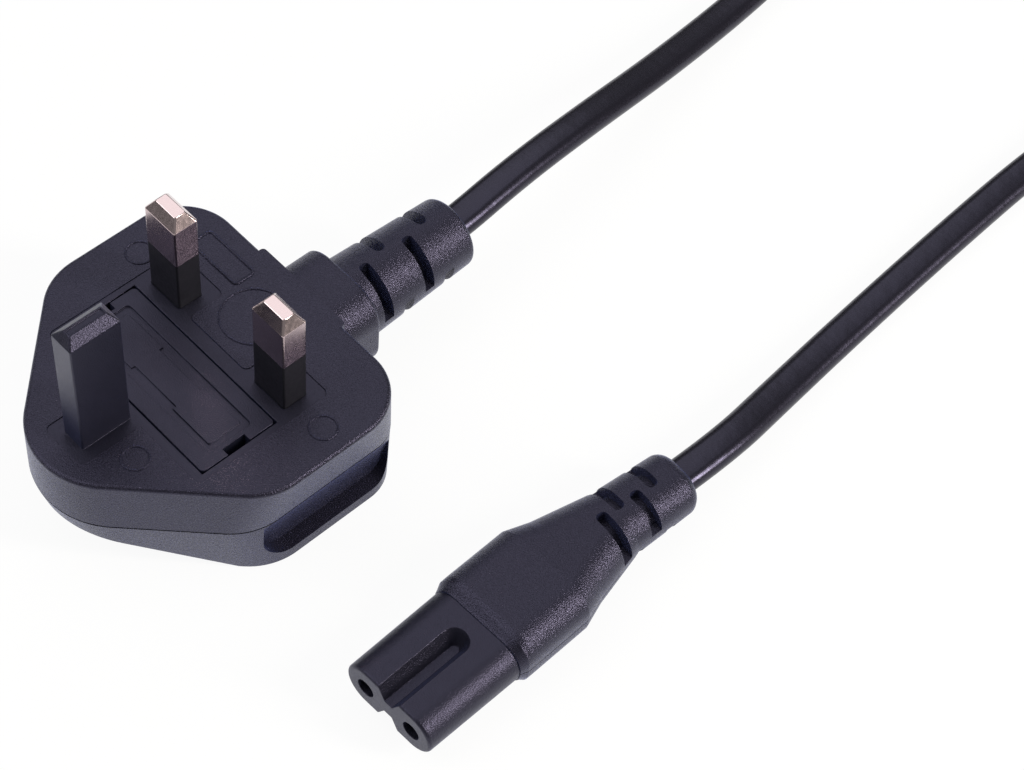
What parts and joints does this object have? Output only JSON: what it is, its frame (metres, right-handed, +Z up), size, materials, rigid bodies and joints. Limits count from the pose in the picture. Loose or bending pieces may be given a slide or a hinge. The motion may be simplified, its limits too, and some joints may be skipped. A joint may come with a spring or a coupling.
{
  "type": "figure eight power connector",
  "caption": "Figure eight appliance connector with a grooved nose and a slotted strain relief, on a flat mains cord that ends in a flat-pin plug with a pull-out fuse carrier",
  "frame": {"origin": "under the middle of the connector, on the floor that it lies on", "axes": "+Y runs along the connector from its mouth to its cord, +Z is up, +X is to the right when looking along +Y from above"},
  "size_m": [0.0882, 0.2712, 0.0429],
  "materials": {
    "cord_jacket": "smooth semi-gloss PVC jacket",
    "overmould": "fine spark-eroded matte soft PVC",
    "hard_plastic": "smooth satin",
    "pin_sleeve": "smooth satin",
    "plated_pin": "bright nickel plate",
    "contact_metal": "tinned",
    "fuse_ceramic": "glazed ceramic",
    "fuse_metal": "nickel plate",
    "copper": "bare copper strands",
    "core_blue": "smooth",
    "core_brown": "smooth"
  },
  "bodies": {
    "lead": {"cord_connector_end": "cord_jacket", "cord_plug_end": "cord_jacket", "cord_coil": "cord_jacket", "connector_body": "overmould", "plug_body": "overmould", "connector_nose": "hard_plastic", "plug_insert": "hard_plastic", "neutral_pin_sleeve": "pin_sleeve", "live_pin_sleeve": "pin_sleeve", "neutral_pin": "plated_pin", "live_pin": "plated_pin", "contact_socket_left": "contact_metal", "contact_socket_right": "contact_metal", "live_fuse_clip": "contact_metal", "supply_fuse_clip": "contact_metal", "neutral_terminal": "contact_metal", "connector_conductor_left": "copper", "connector_conductor_right": "copper", "plug_conductor_neutral": "copper", "plug_conductor_live": "copper", "connector_core_left": "core_blue", "plug_core_neutral": "core_blue", "connector_core_right": "core_brown", "plug_core_live": "core_brown"},
    "carrier": {"fuse_carrier": "hard_plastic", "fuse_barrel": "fuse_ceramic", "fuse_cap_supply": "fuse_metal", "fuse_cap_live": "fuse_metal"}
  },
  "joints": [
    {"name": "carrier_pull", "type": "slide", "parent": "lead", "child": "carrier", "axis": [0, 0, 1], "range_m": [0, 0.01]}
  ]
}
